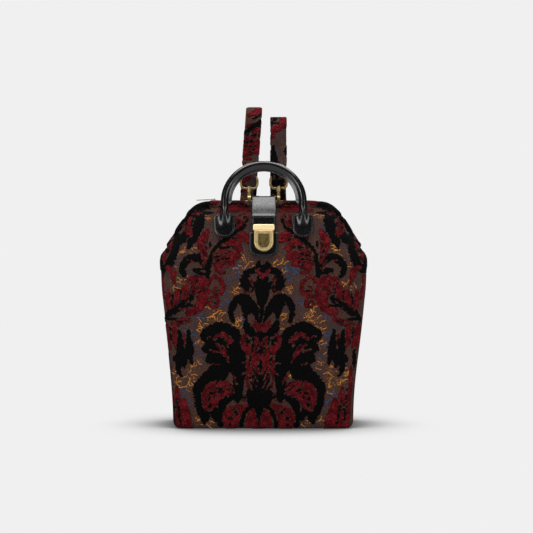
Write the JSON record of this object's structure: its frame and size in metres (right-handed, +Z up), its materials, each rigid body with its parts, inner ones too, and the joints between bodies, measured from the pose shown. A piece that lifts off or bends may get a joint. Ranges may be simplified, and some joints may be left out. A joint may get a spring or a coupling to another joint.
{
  "type": "backpack",
  "caption": "Carpet-cloth backpack with a hinged wide-mouth frame, leather tuck-lock tab, rolled top handle and shoulder straps on swivel snap hooks.",
  "frame": {"origin": "middle of the underside of the base, on the floor", "axes": "+Z up, +X to the right as seen from the front, -Y out of the front with the lock"},
  "size_m": [0.328, 0.1718, 0.5167],
  "materials": {
    "carpet_cloth": "matte pile",
    "black_leather": "glossy",
    "antique_brass": "antique satin",
    "frame_steel": "satin",
    "base_board": "matte",
    "zip_tape": "matte",
    "zip_teeth": "antique satin"
  },
  "bodies": {
    "root": {"front_panel_lower": "carpet_cloth", "back_panel": "carpet_cloth", "gusset_left": "carpet_cloth", "gusset_right": "carpet_cloth", "base_panel": "carpet_cloth", "base_board": "base_board", "rear_frame_tube": "frame_steel", "rear_casing": "carpet_cloth", "hinge_pins": "frame_steel", "rear_zip_tape": "zip_tape", "rear_zip_teeth": "zip_teeth", "tab_anchor": "black_leather", "strap_left": "carpet_cloth", "strap_right": "carpet_cloth", "upper_strap_ring_left": "antique_brass", "upper_d_ring_left": "antique_brass", "upper_ring_loop_left": "black_leather", "upper_strap_ring_right": "antique_brass", "upper_d_ring_right": "antique_brass", "upper_ring_loop_right": "black_leather", "lower_strap_ring_left": "antique_brass", "lower_d_ring_left": "antique_brass", "lower_ring_loop_left": "black_leather", "lower_strap_ring_right": "antique_brass", "lower_d_ring_right": "antique_brass", "lower_ring_loop_right": "black_leather"},
    "front_half": {"front_panel_upper": "carpet_cloth", "front_frame_tube": "frame_steel", "front_casing": "carpet_cloth", "front_zip_tape": "zip_tape", "front_zip_teeth": "zip_teeth", "handle": "black_leather", "lock_patch": "black_leather", "lock_case": "antique_brass"},
    "closure_tab": {"closure_tab": "black_leather", "lock_tongue": "antique_brass"},
    "lock_button": {"lock_button": "antique_brass"},
    "zip_slider": {"zip_slider": "antique_brass"},
    "zip_pull": {"zip_pull": "antique_brass"},
    "upper_hook_left": {"upper_hook_left": "antique_brass"},
    "upper_gate_left": {"upper_gate_left": "antique_brass"},
    "upper_hook_right": {"upper_hook_right": "antique_brass"},
    "upper_gate_right": {"upper_gate_right": "antique_brass"},
    "lower_hook_left": {"lower_hook_left": "antique_brass"},
    "lower_gate_left": {"lower_gate_left": "antique_brass"},
    "lower_hook_right": {"lower_hook_right": "antique_brass"},
    "lower_gate_right": {"lower_gate_right": "antique_brass"}
  },
  "joints": [
    {"name": "frame_hinge", "type": "hinge", "parent": "root", "child": "front_half", "pos_m": [0, 0, 0.268], "axis": [1, 0, 0], "range_deg": [0, 55]},
    {"name": "tab_lift", "type": "hinge", "parent": "root", "child": "closure_tab", "pos_m": [0, 0.024, 0.35], "axis": [-1, 0, 0], "range_deg": [0, 72]},
    {"name": "lock_button_press", "type": "slide", "parent": "front_half", "child": "lock_button", "axis": [0, 0.9603, -0.2788], "range_m": [0, 0.002], "stiffness_N_per_m": 500},
    {"name": "zip_slide", "type": "slide", "parent": "root", "child": "zip_slider", "axis": [1, 0, 0], "range_m": [0, 0.155]},
    {"name": "zip_pull_swing", "type": "hinge", "parent": "zip_slider", "child": "zip_pull", "pos_m": [-0.079, 0, 0.3602], "axis": [0, 1, 0], "range_deg": [0, 100]},
    {"name": "upper_hook_left_swivel", "type": "hinge", "parent": "root", "child": "upper_hook_left", "pos_m": [-0.024, 0.042, 0.3588], "axis": [0, 0, 1], "range_deg": [-15, 15]},
    {"name": "upper_gate_left_spring", "type": "hinge", "parent": "upper_hook_left", "child": "upper_gate_left", "pos_m": [-0.024, 0.04812, 0.35875], "axis": [1, 0, 0], "range_deg": [0, 16], "stiffness_Nm_per_rad": 0.02},
    {"name": "upper_hook_right_swivel", "type": "hinge", "parent": "root", "child": "upper_hook_right", "pos_m": [0.024, 0.042, 0.3588], "axis": [0, 0, 1], "range_deg": [-15, 15]},
    {"name": "upper_gate_right_spring", "type": "hinge", "parent": "upper_hook_right", "child": "upper_gate_right", "pos_m": [0.024, 0.04812, 0.35875], "axis": [1, 0, 0], "range_deg": [0, 16], "stiffness_Nm_per_rad": 0.02},
    {"name": "lower_hook_left_swivel", "type": "hinge", "parent": "root", "child": "lower_hook_left", "pos_m": [-0.095, 0.086, 0.052], "axis": [0, 0, 1], "range_deg": [-15, 15]},
    {"name": "lower_gate_left_spring", "type": "hinge", "parent": "lower_hook_left", "child": "lower_gate_left", "pos_m": [-0.095, 0.09212, 0.05195], "axis": [1, 0, 0], "range_deg": [0, 16], "stiffness_Nm_per_rad": 0.02},
    {"name": "lower_hook_right_swivel", "type": "hinge", "parent": "root", "child": "lower_hook_right", "pos_m": [0.095, 0.086, 0.052], "axis": [0, 0, 1], "range_deg": [-15, 15]},
    {"name": "lower_gate_right_spring", "type": "hinge", "parent": "lower_hook_right", "child": "lower_gate_right", "pos_m": [0.095, 0.09212, 0.05195], "axis": [1, 0, 0], "range_deg": [0, 16], "stiffness_Nm_per_rad": 0.02}
  ],
  "couplings": [
    {"joint": "tab_lift", "follows": "frame_hinge", "ratio": 1.3}
  ]
}
